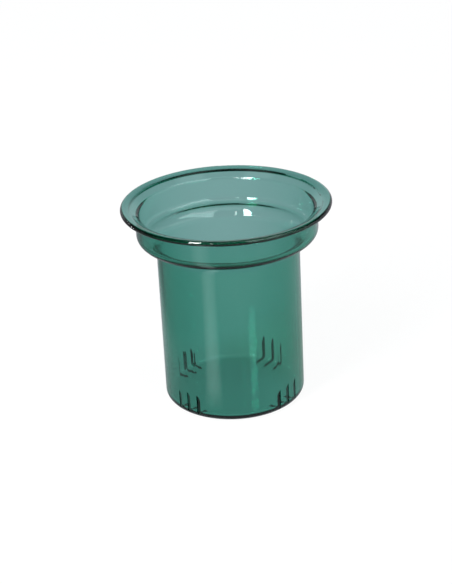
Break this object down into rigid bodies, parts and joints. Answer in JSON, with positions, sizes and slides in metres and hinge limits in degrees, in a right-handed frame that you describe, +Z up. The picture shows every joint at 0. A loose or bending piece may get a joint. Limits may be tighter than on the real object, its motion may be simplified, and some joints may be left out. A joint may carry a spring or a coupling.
{
  "type": "tea infuser",
  "caption": "Straight-sided glass infuser insert with a stepped collar, a flared rim to hang it by, and saw-cut kerfs through the corner of its base.",
  "frame": {"origin": "centre of the flat base's underside, on the axis of the tube", "axes": "+Z up along the axis, from the base to the open mouth; -Y faces the viewer, and the kerf groups lie about halfway between the axes"},
  "size_m": [0.088, 0.088, 0.0879],
  "materials": {
    "green_glass": "polished transparent blue-green borosilicate glass, fire-polished rim, ground kerf faces"
  },
  "bodies": {
    "root": {"infuser_glass": "green_glass"}
  },
  "joints": []
}
